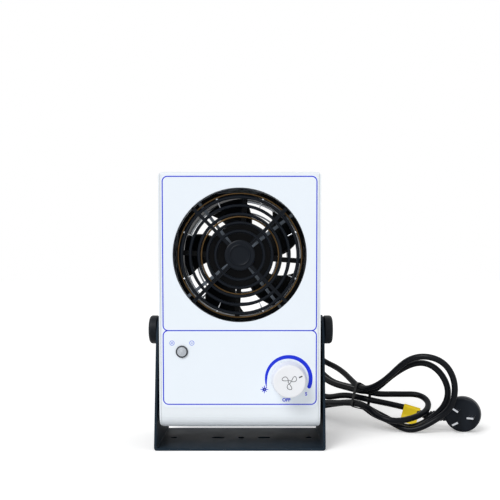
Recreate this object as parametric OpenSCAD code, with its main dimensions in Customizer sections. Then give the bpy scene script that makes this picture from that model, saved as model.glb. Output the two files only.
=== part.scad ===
// Desktop ionizing blower: a sheet-metal head that tilts between the arms of a
// U-shaped stand. An axial fan blows through a ring of emitter needles.
//
// Frame: millimetres, +Z up, the front faces -Y and +X is to the right seen from
// the front. The origin is on the underside of the stand, at its centre hole.

/* [Stand] */
// Outside width of the U bracket
stand_w = 155; // [155:1:162]
// Depth of the base plate, front to back
stand_d = 88; // [84:1:100]
// Thickness of the bracket's sheet
stand_t = 2; // [1.5:0.5:2]
// Radius of the round top of each arm
arm_r = 28; // [24:1:32]
// Diameter of the fixing holes, and width of the slots, in the base
base_hole_d = 6.2; // [5:0.1:8]
// Distance of the outer fixing holes from the centre
base_hole_x = 65; // [55:1:66]
// Distance of the slots from the centre
base_slot_x = 22; // [18:1:30]
// Length of each slot, end to end
base_slot_l = 12.4; // [8.2:0.2:16]

/* [Tilt pivot] */
// Height of the tilt axis above the table
pivot_z = 106.5; // [104:0.5:112]
// Diameter of the clamp knobs
clamp_knob_d = 27; // [20:1:32]
// Length of the clamp knobs
clamp_knob_l = 10.4; // [8:0.2:14]
// Diameter of the clamp studs
stud_d = 6; // [5:1:6]

/* [Casing] */
// Width of the casing
case_w = 145; // [145:0.5:146]
// Depth of the casing
case_d = 83; // [83:0.5:84]
// Height of the casing
case_h = 230.7; // [229:0.1:231]
// Height of the tilt axis above the bottom of the casing
case_drop = 87; // [86:0.5:88]
// Thickness of the casing's sheet
sheet_t = 1.5; // [1:0.1:1.5]
// Radius of the bend along the top front edge
top_bend_r = 3; // [2:0.5:6]
// Radius of the bend along the bottom front edge
bottom_bend_r = 13; // [6:1:16]
// Radius of the casing's corners seen from the front
corner_r = 4.5; // [2:0.5:6]

/* [Fan] */
// Height of the fan's axis above the tilt axis
fan_up = 69.5; // [69:0.5:70.5]
// Diameter of the round air outlet in the front
outlet_d = 120; // [110:1:120]
// Side of the square fan frame
fan_w = 119; // [119:0.5:120]
// Depth of the fan frame
fan_d = 38; // [32:1:38]
// Diameter of the bore that the blades run in
fan_bore = 116; // [114:1:116]
// Spacing of the fan's fixing holes
fan_pitch = 105; // [104:0.5:105]
// Number of blades
blade_count = 5; // [3:1:7]
// Angle that each blade winds through from front to back
blade_twist = 40; // [20:1:50]
// Diameter of the rotor's hub
hub_d = 61; // [50:1:62]

/* [Finger guard] */
// Radii of the guard's rings
guard_rings = [21.8, 29.2, 36.9, 44.5, 52.2];
// Width of each ring
guard_ring_w = 2.7; // [2:0.1:3.5]
// Width of the four spokes
spoke_w = 3.1; // [2.4:0.1:5]
// Diameter of the disc in the middle
guard_hub_d = 27.4; // [20:0.2:36]

/* [Ionizer] */
// Number of emitter needles
needle_count = 8; // [4:1:16]
// Radius of the outer electrode ring
outer_ring_r = 56; // [54:0.5:57]
// Radius of the inner electrode ring
inner_ring_r = 35; // [33:0.5:36]
// Turn of the support bars from the diagonal
support_turn = -7; // [-15:1:15]

/* [Controls] */
// Diameter of the speed knob at its foot
knob_d = 32; // [26:1:36]
// Diameter of the speed knob at its face
knob_face_d = 28.6; // [22:0.2:32]
// Height of the speed knob
knob_h = 18; // [14:1:22]
// Distance of the knob's axis from the middle
knob_x = 44; // [40:1:48]
// Height of the knob's axis above the bottom of the casing
knob_up = 45.5; // [42:0.5:48]
// Diameter of the lamp's bezel
lamp_d = 11; // [9:0.5:13]

/* [Mains cord] */
// Diameter of the cord
cord_d = 6.2; // [5:0.2:6.2]
// Diameter of the round plug body
plug_d = 35.6; // [34:0.2:38]
// Thickness of the plug body
plug_t = 16; // [14:1:18]

/* [Hidden] */
$fn = 64;

// Casing
case_z0 = pivot_z - case_drop;
case_z1 = case_z0 + case_h;
front_y = -case_d / 2;
back_y = case_d / 2;
in_front_y = front_y + sheet_t;
in_back_y = back_y - sheet_t;
side_in_x = case_w / 2 - sheet_t;
seam_gap = 0.2;
overlay_t = 0.3;

// Stand and pivot
arm_x = stand_w / 2;
arm_in_x = arm_x - stand_t;
running_gap = 0.05;
insert_flange_t = 1;
insert_r = 4.5;

// Fan, guard and ionizer, which share one axis
fan_z = pivot_z + fan_up;
fan_front_y = in_back_y - fan_d;
motor_r = 31;
flange_t = 4;
shaft_r = 2;
bearing_r = 4;
tube_r = 6;
blade_tip_r = fan_bore / 2 - 2;
guard_back_y = in_front_y + 4;
frame_in_r = 60.5;
frame_out_r = 64;
bar_front_y = -31;
bar_back_y = -26;
electrode_r = 0.8;
fixing_r = fan_pitch / sqrt(2);
guard_wire_r = 1;

// Controls
knob_z = case_z0 + knob_up;
knob_back_y = front_y - overlay_t - 0.5;
lamp_x = -52;
lamp_z = case_z0 + 70;
board_y = -25.6;

// Cord
cord_r = cord_d / 2;
cord_sides = 8;
gland_x = 45;
gland_z = 82;
// From the gland to the plane beside the casing where the cord leaves the head
lead_route = [
    [45, 43, 82], [45, 53, 82], [45.2, 63.3, 82], [47.7, 75.5, 81.8], [57.8, 89.2, 80.7], [72.8, 99.4, 76.3]
];
// From that plane through the tied hank to the plug
hank_route = [
    // down to the tie
    [87.4, 106, 64.9], [99.8, 100, 58.5], [111.1, 84, 51.2], [122.1, 61.5, 41.9], [134.3, 48, 43.6],
    // first large loop
    [149.4, 40.5, 55.4], [164.7, 33, 71.3], [181.7, 24.5, 77.6], [200.3, 19, 70.6], [209.7, 16.3, 50.6], [207, 19.2, 29.1],
    [194.1, 25, 14.6], [170.2, 29.5, 3.3], [150.8, 42, 9.1], [135.7, 53.3, 14.7], [122.7, 67, 22.5],
    // first turn behind the casing
    [109.3, 85, 20.3], [94.1, 108, 13.7], [77.7, 134.4, 7.2], [63.1, 159.6, 10.7], [53.6, 174.9, 24.6], [53.4, 175.7, 43.6],
    [61.9, 161.6, 56.4], [75.5, 137.2, 55], [92.4, 110.5, 41.9], [110.6, 86, 37.4], [125.5, 66.5, 36.4],
    // second large loop
    [138.3, 57.5, 39.8], [151.6, 51, 52.3], [167.3, 43, 64.9], [182.7, 34.5, 69.9], [197.1, 28.2, 62.2], [205.5, 25.6, 44.5],
    [202.5, 30, 26.6], [190.1, 35.5, 12.7], [170.6, 41, 3.4], [151.8, 53, 9.3], [136.7, 62, 16.4], [125.7, 74.6, 21.1],
    // second turn behind the casing
    [112.8, 91.6, 20], [97.7, 115.4, 13.9], [81.3, 141, 9.6], [67.5, 165.2, 10.8], [58.2, 179.9, 24.6], [58, 180.7, 43.6],
    [66.5, 166.7, 56.5], [80, 143.2, 55.3], [96.8, 117.6, 41.5], [114.5, 93.3, 37.4], [129.8, 73.5, 35.5],
    // small loop
    [142.9, 66, 33.5], [157.1, 68.5, 32.7], [171.1, 70.5, 32.3], [182.5, 69, 32.2], [190.1, 63.8, 30.1], [193.2, 56.3, 26],
    [190.6, 48, 20.9], [182.3, 40, 16.7], [170.6, 33, 13.9], [157.1, 27.5, 12.7], [146.1, 28, 13.8], [136.5, 34.5, 17],
    [127.5, 44.5, 23.5],
    // third turn behind the casing
    [114, 62.8, 24.1], [100.2, 82.2, 21], [86.7, 103.9, 17.1], [73, 124.9, 11.8], [59.5, 146.6, 12.2], [49.5, 162.6, 24.5],
    [49, 163.6, 42.6], [56.7, 149.6, 53.9], [69.6, 129.2, 42.8], [87.5, 107.4, 25], [106.2, 85.4, 28.4], [123.7, 66.4, 29.4],
    // out to the plug
    [138, 61.5, 26.9], [154, 65.5, 23], [170.2, 67, 19.1], [182.7, 63.5, 15.7], [191.6, 55.1, 11.1]
];
// Centre of the plug's pin face, and the plug's turn about the vertical
plug_x = 221.9;
plug_y = 32.2;
plug_turn = -25;
// The plug's neck slopes down by this angle and ends at this distance from the middle
neck_fall = 10;
neck_reach = plug_d / 2 + 20;
neck_depth = 8;
// Place, height and turn of the two slanted blades and the earth blade
plug_blades = [[-3.97, 6.85, 30], [-3.97, -6.85, -30], [10.31, 0, 0]];

// ---- Helpers ----

function unit(v) = v / norm(v);
function polar(r, a) = [r * cos(a), r * sin(a)];

// Points round one corner, from the side of a to the side of b
function corner(a, p, b, r, steps) =
    let (
        u = unit(a - p),
        v = unit(b - p),
        half = acos(u * v) / 2,
        c = p + unit(u + v) * r / sin(half),
        t1 = p + u * r / tan(half),
        t2 = p + v * r / tan(half),
        a1 = atan2(t1[1] - c[1], t1[0] - c[0]),
        a2 = atan2(t2[1] - c[1], t2[0] - c[0]),
        turn = (a2 - a1 + 540) % 360 - 180
    )
    [for (k = [0:steps]) c + polar(r, a1 + turn * k / steps)];

// An outline whose points are [x, y, radius]
function rounded(pts, steps = 6) =
    let (n = len(pts))
    [for (i = [0:n - 1])
        let (
            p = [pts[i][0], pts[i][1]],
            a = [pts[(i + n - 1) % n][0], pts[(i + n - 1) % n][1]],
            b = [pts[(i + 1) % n][0], pts[(i + 1) % n][1]]
        )
        each pts[i][2] > 0 ? corner(a, p, b, pts[i][2], steps) : [p]];

function rounded_box(x0, y0, x1, y1, r) = [[x0, y0, r], [x1, y0, r], [x1, y1, r], [x0, y1, r]];

// An XZ outline swept from y0 to y1
module along_y(y0, y1) translate([0, y1, 0]) rotate([90, 0, 0]) linear_extrude(y1 - y0) children();

// A YZ outline swept from x0 to x1
module along_x(x0, x1) translate([x0, 0, 0]) rotate([90, 0, 90]) linear_extrude(x1 - x0) children();

module rod_y(x, z, y0, y1, r) translate([x, y1, z]) rotate([90, 0, 0]) cylinder(r = r, h = y1 - y0);
module rod_x(y, z, x0, x1, r) translate([x0, y, z]) rotate([0, 90, 0]) cylinder(r = r, h = x1 - x0);

// A profile of [radius, distance forward of y] turned about an axis along Y
module turned_y(x, y, z) translate([x, y, z]) rotate([90, 0, 0]) rotate_extrude() children();

// A profile of [radius, distance along +X from x] turned about the tilt axis
module turned_x(x) translate([x, 0, pivot_z]) rotate([0, 90, 0]) rotate_extrude() children();

module at_fixings(z) for (x = [-1, 1], u = [-1, 1])
    translate([x * fan_pitch / 2, 0, z + u * fan_pitch / 2]) children();

// ---- Stand ----

// The arm's side outline: straight sides that meet a round top
function arm_outline() =
    let (
        zc = pivot_z + 14 - arm_r,
        d = norm([stand_d / 2, zc]),
        lift = acos(arm_r / d) - atan2(zc, stand_d / 2)
    )
    concat(
        [[-stand_d / 2, 0], [stand_d / 2, 0]],
        [for (k = [0:24]) [0, zc] + polar(arm_r, lift + (180 - 2 * lift) * k / 24)]
    );

module stand_profile() polygon(rounded([
    [-arm_x, 200, 0], [-arm_x, 0, 2.6], [arm_x, 0, 2.6], [arm_x, 200, 0],
    [arm_in_x, 200, 0], [arm_in_x, stand_t, 0.6], [-arm_in_x, stand_t, 0.6], [-arm_in_x, 200, 0]
], 5));

module base_slot(x) {
    half = (base_slot_l - base_hole_d) / 2;
    for (s = [-half, half]) translate([x + s, 0, -1]) cylinder(d = base_hole_d, h = 10);
    translate([x - half, -base_hole_d / 2, -1]) cube([2 * half, base_hole_d, 10]);
}

module stand_bracket() color([0.08, 0.08, 0.09]) difference() {
    intersection() {
        along_y(-stand_d / 2, stand_d / 2) stand_profile();
        along_x(-arm_x, arm_x) polygon(arm_outline());
    }
    for (x = [-base_hole_x, 0, base_hole_x]) translate([x, 0, -1]) cylinder(d = base_hole_d, h = 10);
    base_slot(-base_slot_x);
    base_slot(base_slot_x);
    rod_x(0, pivot_z, -arm_x - 1, arm_x + 1, stud_d / 2 + running_gap);
}

// side is -1 on the left and 1 on the right
module pivot_washer(side) {
    x0 = case_w / 2 + insert_flange_t;
    color([0.12, 0.12, 0.12]) scale_side(side) difference() {
        rod_x(0, pivot_z, x0, arm_in_x, 9);
        rod_x(0, pivot_z, x0 - 1, arm_in_x + 1, stud_d / 2 + running_gap);
    }
}
module scale_side(side) mirror([side < 0 ? 1 : 0, 0, 0]) children();
module pivot_washer_left() pivot_washer(-1);
module pivot_washer_right() pivot_washer(1);

// The plastic head of a clamp screw, revolved about the tilt axis
module clamp_knob(side) {
    r = clamp_knob_d / 2;
    l = clamp_knob_l;
    color([0.05, 0.05, 0.05]) scale_side(side) difference() {
        turned_x(arm_x) polygon(concat(
            [[0, 0], [r - 3, 0], [r - 1.2, 0.8], [r, 2.2]],
            corner([r, 0], [r, l - 1.2], [0, l], 3, 5),
            [[0, l]]
        ));
        rod_x(0, pivot_z, arm_x - 1, arm_x + l - 3, stud_d / 2);
    }
}
module clamp_knob_left() clamp_knob(-1);
module clamp_knob_right() clamp_knob(1);

module clamp_stud(side) color([0.75, 0.75, 0.77]) scale_side(side)
    rod_x(0, pivot_z, case_w / 2 - 11, arm_x + clamp_knob_l - 3, stud_d / 2);
module clamp_stud_left() clamp_stud(-1);
module clamp_stud_right() clamp_stud(1);

// ---- Casing ----

// The closed form of the casing, drawn in by inset all round
module case_form(inset) {
    function r(size) = max(size - inset, 0.3);
    w = case_w / 2 - inset;
    intersection() {
        along_y(front_y + inset, back_y - inset) polygon(rounded(
            rounded_box(-w, case_z0 + inset, w, case_z1 - inset, r(corner_r))
        ));
        along_x(-case_w, case_w) polygon(rounded([
            [front_y + inset, case_z0 + inset, r(bottom_bend_r)],
            [back_y - inset, case_z0 + inset, r(2)],
            [back_y - inset, case_z1 - inset, r(2)],
            [front_y + inset, case_z1 - inset, r(top_bend_r)]
        ], 8));
    }
}

module case_shell() difference() {
    case_form(0);
    case_form(sheet_t);
}

// Front, top and bottom in one folded sheet, with flanges inside the side walls
module front_cover() {
    edge_x = side_in_x - seam_gap;
    end_y = in_back_y - seam_gap;
    color([0.93, 0.94, 0.96]) difference() {
        union() {
            intersection() {
                case_shell();
                translate([-edge_x, -case_d, 0]) cube([2 * edge_x, case_d + end_y, 2 * case_h]);
            }
            for (s = [0, 1]) mirror([s, 0, 0])
                translate([edge_x - 1.2, in_front_y - 0.5, case_z0 + 14]) cube([1.2, 12, case_h - 22]);
            for (z = [case_z0 + 1, case_z1 - 11.5])
                translate([-58, end_y - 1.2, z]) cube([116, 1.2, 10.5]);
            at_fixings(fan_z) rod_y(0, 0, in_front_y - 0.5, in_front_y + 18, shaft_r);
        }
        rod_y(0, fan_z, front_y - 1, in_front_y + 1, outlet_d / 2);
        rod_y(lamp_x, lamp_z, front_y - 1, in_front_y + 1, 4);
        rod_y(knob_x, knob_z, front_y - 1, in_front_y + 1, 3.6);
        for (x = [-50, 50], z = [case_z0 + 6.5, case_z1 - 6.5]) rod_y(x, z, end_y - 3, end_y + 1, 1.5);
    }
}

// Both side walls and the back in one folded sheet
module rear_cover() color([0.9, 0.91, 0.93]) difference() {
    case_shell();
    translate([-side_in_x, -case_d, 0]) cube([2 * side_in_x, case_d + in_back_y, 2 * case_h]);
    rod_y(0, fan_z, in_back_y - 1, back_y + 1, 57);
    at_fixings(fan_z) rod_y(0, 0, in_back_y - 1, back_y + 1, 2.2);
    rod_y(gland_x, gland_z, in_back_y - 1, back_y + 1, 6);
    rod_x(0, pivot_z, -case_w, case_w, insert_r);
    for (x = [-50, 50], z = [case_z0 + 6.5, case_z1 - 6.5]) rod_y(x, z, in_back_y - 1, back_y + 1, 1.7);
}

// Printed film over the front
module front_overlay() color([0.92, 0.95, 1]) difference() {
    along_y(front_y - overlay_t, front_y) polygon(rounded(
        rounded_box(-69.6, case_z0 + 19.5, 69.6, case_z1 - 1.6 - top_bend_r / 2, 4)
    ));
    rod_y(0, fan_z, front_y - 1, front_y + 1, outlet_d / 2);
    rod_y(lamp_x, lamp_z, front_y - 1, front_y + 1, 4);
    rod_y(knob_x, knob_z, front_y - 1, front_y + 1, 3.6);
}

// Rivet nuts in the side walls, which the clamp studs screw into
module threaded_inserts() color([0.78, 0.76, 0.7]) for (s = [0, 1]) mirror([s, 0, 0]) difference() {
    union() {
        rod_x(0, pivot_z, case_w / 2 - 12, case_w / 2 + 0.5, insert_r);
        rod_x(0, pivot_z, case_w / 2, case_w / 2 + insert_flange_t, 6.5);
    }
    rod_x(0, pivot_z, case_w / 2 - 13, case_w, stud_d / 2 + running_gap);
}

module cover_screws() color([0.8, 0.8, 0.82]) for (x = [-50, 50], z = [case_z0 + 6.5, case_z1 - 6.5]) {
    turned_y(x, back_y, z) polygon([[0, -1.9], [1.6, -1.9], [2.8, -1], [2.8, 0], [0, 0]]);
    rod_y(x, z, in_back_y - 5, back_y + 0.5, 1.5);
}

// ---- Front finger guard ----

// One ring, rounded towards the front
module guard_ring(r) turned_y(0, guard_back_y, fan_z) polygon([
    [r - guard_ring_w / 2, 0], [r + guard_ring_w / 2, 0],
    [r + guard_ring_w / 2, 2], [r + guard_ring_w / 2 - 0.4, 2.8],
    [r + 0.5, 3.2], [r - 0.5, 3.2],
    [r - guard_ring_w / 2 + 0.4, 2.8], [r - guard_ring_w / 2, 2]
]);

// A spoke with a raised rib along each edge, from the disc to the fixing
module guard_spoke(a) translate([0, guard_back_y, fan_z]) rotate([90, -a, 0]) {
    from = guard_hub_d / 2 - 1;
    translate([from, -spoke_w / 2, 0]) cube([fixing_r - 4 - from, spoke_w, 2.4]);
    for (s = [-spoke_w / 2, spoke_w / 2 - 0.8])
        translate([from, s, 0]) cube([frame_out_r - 1 - from, 0.8, 3.4]);
}

module guard_disc() turned_y(0, guard_back_y, fan_z) {
    r = guard_hub_d / 2;
    polygon([
        [0, 0], [r, 0], [r, 3], [r - 0.3, 3.7], [r - 1, 4], [10, 4], [9.6, 4.5],
        [9, 4.7], [8.4, 4.5], [8, 4], [7, 3.8], [0, 3.8]
    ]);
}

module front_guard() color([0.06, 0.06, 0.07]) difference() {
    union() {
        guard_disc();
        for (r = guard_rings) guard_ring(r);
        turned_y(0, guard_back_y, fan_z) translate([frame_in_r, 0]) square([frame_out_r - frame_in_r, 4]);
        for (a = [45:90:315]) guard_spoke(a);
        at_fixings(fan_z) rod_y(0, 0, in_front_y, guard_back_y, 5);
    }
    at_fixings(fan_z) rod_y(0, 0, in_front_y - 1, guard_back_y + 1, shaft_r + 0.1);
}

module guard_nuts() color([0.8, 0.8, 0.82]) at_fixings(fan_z) difference() {
    translate([0, -22, 0]) rotate([90, 0, 0]) cylinder(r = 4, h = 3, $fn = 6);
    rod_y(0, 0, -26, -21, shaft_r);
}

// ---- Ionizer ----

module ionizer_frame() color([0.45, 0.46, 0.48]) difference() {
    union() {
        turned_y(0, bar_back_y, fan_z) translate([frame_in_r, 0]) square([3, bar_back_y - bar_front_y]);
        turned_y(0, bar_back_y, fan_z) translate([3, 0]) square([4, bar_back_y - bar_front_y]);
        for (a = [45:90:315]) translate([0, bar_back_y, fan_z]) rotate([90, -a - support_turn, 0])
            translate([5, -1.4, 0]) cube([frame_in_r - 4, 2.8, bar_back_y - bar_front_y]);
        at_fixings(fan_z) {
            rod_y(0, 0, guard_back_y, -25, 4.6);
        }
        for (a = [45:90:315]) translate([0, bar_back_y, fan_z]) rotate([90, -a, 0])
            translate([frame_in_r + 1, -2, 0]) cube([fixing_r - frame_in_r - 4, 4, 3]);
    }
    at_fixings(fan_z) rod_y(0, 0, guard_back_y - 1, -24, shaft_r + 0.1);
}

module electrode(r) turned_y(0, bar_front_y - electrode_r, fan_z) translate([r, 0]) circle(r = electrode_r, $fn = 24);
module outer_electrode() color([0.72, 0.52, 0.28]) electrode(outer_ring_r);
module inner_electrode() color([0.72, 0.52, 0.28]) electrode(inner_ring_r);

// Each needle stands on the outer ring and points at the axis
module emitter_needles() color([0.8, 0.8, 0.82]) for (k = [0:needle_count - 1])
    translate([0, bar_front_y - electrode_r, fan_z]) rotate([0, -(k + 0.5) * 360 / needle_count, 0])
        translate([outer_ring_r - electrode_r - 0.05, 0, 0]) rotate([0, -90, 0]) {
            cylinder(r = 1.2, h = 4, $fn = 20);
            translate([0, 0, 4]) cylinder(r1 = 0.7, r2 = 0.1, h = 7, $fn = 20);
        }

// ---- Fan ----

module fan_flange(y) along_y(y, y + flange_t) polygon(rounded(
    rounded_box(-fan_w / 2, fan_z - fan_w / 2, fan_w / 2, fan_z + fan_w / 2, 6)
));

// Square end flanges on a round duct, with the motor's base on four struts
module fan_frame() color([0.07, 0.07, 0.08]) difference() {
    union() {
        difference() {
            union() {
                fan_flange(fan_front_y);
                fan_flange(in_back_y - flange_t);
                rod_y(0, fan_z, fan_front_y, in_back_y, fan_bore / 2 + 1.3);
            }
            rod_y(0, fan_z, fan_front_y - 1, in_back_y + 1, fan_bore / 2);
        }
        rod_y(0, fan_z, fan_front_y, fan_front_y + 3, motor_r);
        rod_y(0, fan_z, fan_front_y, fan_front_y + 27, tube_r);
        for (a = [-4:90:266]) translate([0, fan_front_y + 3, fan_z]) rotate([90, -a, 0])
            translate([motor_r - 2, -2.4, 0]) cube([fan_bore / 2 - motor_r + 2.6, 4.8, 3]);
    }
    rod_y(0, fan_z, fan_front_y + 1.5, fan_front_y + 30, bearing_r);
    at_fixings(fan_z) rod_y(0, 0, fan_front_y - 1, in_back_y + 1, 2.2);
}

module fan_stator() color([0.75, 0.42, 0.2]) turned_y(0, fan_front_y + 5, fan_z) polygon([
    [tube_r, 0], [16, 0], [18, -1], [18, -4], [23, -4.5], [23, -16], [18, -16.5], [18, -19.5],
    [16, -20.5], [tube_r, -20.5]
]);

module fan_bearings() color([0.82, 0.82, 0.84]) for (y = [fan_front_y + 4, fan_front_y + 22]) difference() {
    rod_y(0, fan_z, y, y + 4, bearing_r);
    rod_y(0, fan_z, y - 1, y + 5, shaft_r + running_gap);
}

module rotor_shaft() color([0.85, 0.85, 0.87]) rod_y(0, fan_z, fan_front_y + 2.5, in_back_y - 4, shaft_r);

// A thin strip that leans forward towards the tip
function blade_strip(t) =
    let (
        r0 = hub_d / 2 - 1.5,
        n = 6,
        radii = [for (k = [0:n]) r0 + (blade_tip_r - r0) * k / n],
        lean = [for (r = radii) 16 * pow((r - r0) / (blade_tip_r - r0), 1.4)],
        half = [for (r = radii) t / 2 / r * 180 / PI]
    )
    concat(
        [for (k = [0:n]) polar(radii[k], lean[k] - half[k])],
        [for (k = [n:-1:0]) polar(radii[k], lean[k] + half[k])]
    );

module fan_rotor() color([0.05, 0.05, 0.06]) {
    blade_h = fan_d - 12;
    first = 28 - 8;
    difference() {
        union() {
            rod_y(0, fan_z, fan_front_y + 5, in_back_y - 3, hub_d / 2);
            for (k = [0:blade_count - 1]) translate([0, in_back_y - 4, fan_z]) rotate([90, 0, 0])
                rotate(first + blade_twist / 2 + k * 360 / blade_count)
                    linear_extrude(blade_h, twist = blade_twist, slices = 9, segments = 14) polygon(blade_strip(2));
        }
        rod_y(0, fan_z, fan_front_y, in_back_y - 6, hub_d / 2 - 2.5);
        rod_y(0, fan_z, in_back_y - 7, in_back_y - 4, shaft_r);
    }
}

module fan_screws() color([0.8, 0.8, 0.82]) at_fixings(fan_z) {
    turned_y(0, back_y, 0) polygon([[0, -4.4], [2, -4.4], [3.4, -3.8], [3.9, -2.6], [3.9, -2], [0, -2]]);
    rod_y(0, 0, fan_front_y - 4, back_y + 2.5, shaft_r);
}

module fan_nuts() color([0.8, 0.8, 0.82]) at_fixings(fan_z) difference() {
    translate([0, fan_front_y, 0]) rotate([90, 0, 0]) cylinder(r = 4, h = 3, $fn = 6);
    rod_y(0, 0, fan_front_y - 4, fan_front_y + 1, shaft_r);
}

// Welded wire guard over the air inlet
module rear_guard() color([0.82, 0.83, 0.85]) {
    for (r = [13, 24, 35, 46, 57]) turned_y(0, back_y + 4, fan_z) translate([r, 0]) circle(r = guard_wire_r, $fn = 24);
    for (a = [45, 135]) translate([0, back_y + 2.4, fan_z]) rotate([0, a, 0])
        translate([0, 0, -fixing_r + 4]) cylinder(r = guard_wire_r, h = 2 * fixing_r - 8, $fn = 24);
    at_fixings(fan_z) turned_y(0, back_y + guard_wire_r, 0) translate([4, 0]) circle(r = guard_wire_r, $fn = 24);
}

// ---- Inside the lower compartment ----

// Potted supply for the emitter needles, on the back wall
module high_voltage_module() color([0.1, 0.1, 0.11]) difference() {
    along_y(12, in_back_y) polygon(rounded(rounded_box(-66, case_z0 + 14, -8, case_z0 + 50, 3)));
    along_y(11, 13) polygon(rounded(rounded_box(-64, case_z0 + 16, -10, case_z0 + 48, 2)));
}

module control_board() color([0.05, 0.3, 0.16]) difference() {
    translate([-62, board_y, case_z0 + 8]) cube([124, 1.6, 74]);
    for (x = [-57, 57], z = [18, 78.5]) rod_y(x, case_z0 + z, board_y - 1, board_y + 3, 1.6);
}

module board_standoffs() color([0.8, 0.8, 0.82]) for (x = [-57, 57], z = [18, 78.5])
    translate([x, board_y, case_z0 + z]) rotate([90, 0, 0]) cylinder(r = 3, h = board_y - in_front_y, $fn = 6);

module board_transformer() color([0.35, 0.33, 0.2]) {
    translate([-30, board_y + 1.6, case_z0 + 20]) cube([34, 24, 6]);
    translate([-30, board_y + 1.6, case_z0 + 38]) cube([34, 24, 6]);
    translate([-24, board_y + 1.6, case_z0 + 26]) cube([22, 22, 12]);
}

module board_capacitors() color([0.12, 0.14, 0.25])
    for (p = [[20, 26, 5, 20], [33, 26, 5, 20], [24, 60, 4, 12]])
        rod_y(p[0], case_z0 + p[1], board_y + 1.6, board_y + 1.6 + p[3], p[2]);

module terminal_block() color([0.9, 0.9, 0.88]) difference() {
    translate([20, 14, case_z0 + sheet_t]) cube([36, 16, 14]);
    for (k = [0:2]) translate([26 + 12 * k, 22, case_z0 + 6]) cylinder(r = 2.6, h = 20);
}

module earth_stud() color([0.8, 0.7, 0.4]) {
    translate([8, 22, case_z0 + sheet_t]) cylinder(r = 2, h = 16);
    translate([8, 22, case_z0 + sheet_t]) cylinder(r = 4, h = 3, $fn = 6);
}

// ---- Controls on the front ----

module speed_control() color([0.35, 0.36, 0.38]) difference() {
    union() {
        rod_y(knob_x, knob_z, in_front_y, board_y, 8);
        rod_y(knob_x, knob_z, front_y - 6, in_front_y + 1, 3.5);
    }
    rod_y(knob_x, knob_z, front_y - 7, board_y - 2, stud_d / 2 + running_gap);
}

module control_nut() color([0.8, 0.8, 0.82]) difference() {
    translate([knob_x, front_y - overlay_t, knob_z]) rotate([90, 0, 0]) cylinder(r = 5.8, h = 2.2, $fn = 6);
    rod_y(knob_x, knob_z, front_y - 4, front_y + 1, 3.5);
}

module control_shaft() color([0.8, 0.8, 0.82]) rod_y(knob_x, knob_z, knob_back_y - knob_h + 4, board_y - 3, stud_d / 2);

// A tapered knob with a rounded rim, hollow underneath for the nut
module speed_knob() color([0.95, 0.95, 0.96]) difference() {
    turned_y(knob_x, knob_back_y, knob_z) polygon(concat(
        [[0, 0], [knob_d / 2 - 0.4, 0], [knob_d / 2, 0.5]],
        corner([knob_d / 2, 0.5], [knob_face_d / 2, knob_h], [0, knob_h], 1.4, 6),
        [[0, knob_h]]
    ));
    rod_y(knob_x, knob_z, knob_back_y - 6.5, knob_back_y + 1, 8);
    rod_y(knob_x, knob_z, knob_back_y - knob_h + 4, knob_back_y + 1, stud_d / 2);
}

module lamp_bezel() color([0.2, 0.2, 0.22]) turned_y(lamp_x, front_y - overlay_t, lamp_z) polygon([
    [3, -15], [3.9, -15], [3.9, 0], [lamp_d / 2, 0], [lamp_d / 2, 0.9], [lamp_d / 2 - 0.4, 1.4],
    [lamp_d / 2 - 0.9, 1.4], [lamp_d / 2 - 1.1, 0.8], [3, 0.8]
]);

module lamp_lens() color([0.8, 0.82, 0.85, 0.8]) turned_y(lamp_x, front_y - overlay_t, lamp_z) polygon([
    [0, -14], [3, -14], [3, 0.8], [4.3, 0.8], [4.3, 1.2], [3.9, 1.9], [3.2, 1.7], [2.6, 2.3],
    [1.9, 2.1], [1.2, 2.6], [0, 2.8]
]);

module lamp_nut() color([0.3, 0.3, 0.32]) difference() {
    translate([lamp_x, in_front_y + 3, lamp_z]) rotate([90, 0, 0]) cylinder(r = 6.5, h = 3, $fn = 6);
    rod_y(lamp_x, lamp_z, in_front_y - 1, in_front_y + 4, 3.9);
}

// ---- Mains cord ----

function tangent(c, i) = unit(c[min(i + 1, len(c) - 1)] - c[max(i - 1, 0)]);

// The first side vector of each ring, carried along the curve without twist
function carried(c, i, u) = i >= len(c) ? [] :
    let (t = tangent(c, i), v = unit(u - (u * t) * t))
    concat([v], carried(c, i + 1, v));

// A ring round point p; a flat direction f puts it in the plane across f
function ring(p, t, u, r) =
    let (w = cross(t, u))
    [for (k = [0:cord_sides - 1]) let (a = 360 * k / cord_sides) p + r * (cos(a) * u + sin(a) * w)];

// A tube through the centres c; square_start and square_end turn its end rings across X
module tube(c, r, square_start, square_end) {
    n = len(c);
    m = cord_sides;
    sides = carried(c, 0, [0, 0, 1]);
    rings = [for (i = [0:n - 1])
        let (square = (i == 0 && square_start) || (i == n - 1 && square_end))
        square ? ring(c[i], [1, 0, 0], [0, 0, 1], r) : ring(c[i], tangent(c, i), sides[i], r)];
    polyhedron(
        points = [for (q = rings) each q],
        faces = concat(
            [[for (k = [0:m - 1]) k]],
            [for (i = [0:n - 2], k = [0:m - 1])
                let (a = i * m + k, b = i * m + (k + 1) % m)
                each [[a, a + m, b], [b, a + m, b + m]]],
            [[for (k = [m - 1:-1:0]) (n - 1) * m + k]]
        )
    );
}

module cord_lead() color([0.05, 0.05, 0.05]) tube(lead_route, cord_r, false, true);
module cord() color([0.05, 0.05, 0.05])
    tube(concat([lead_route[len(lead_route) - 1]], hank_route), cord_r, true, false);

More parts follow.
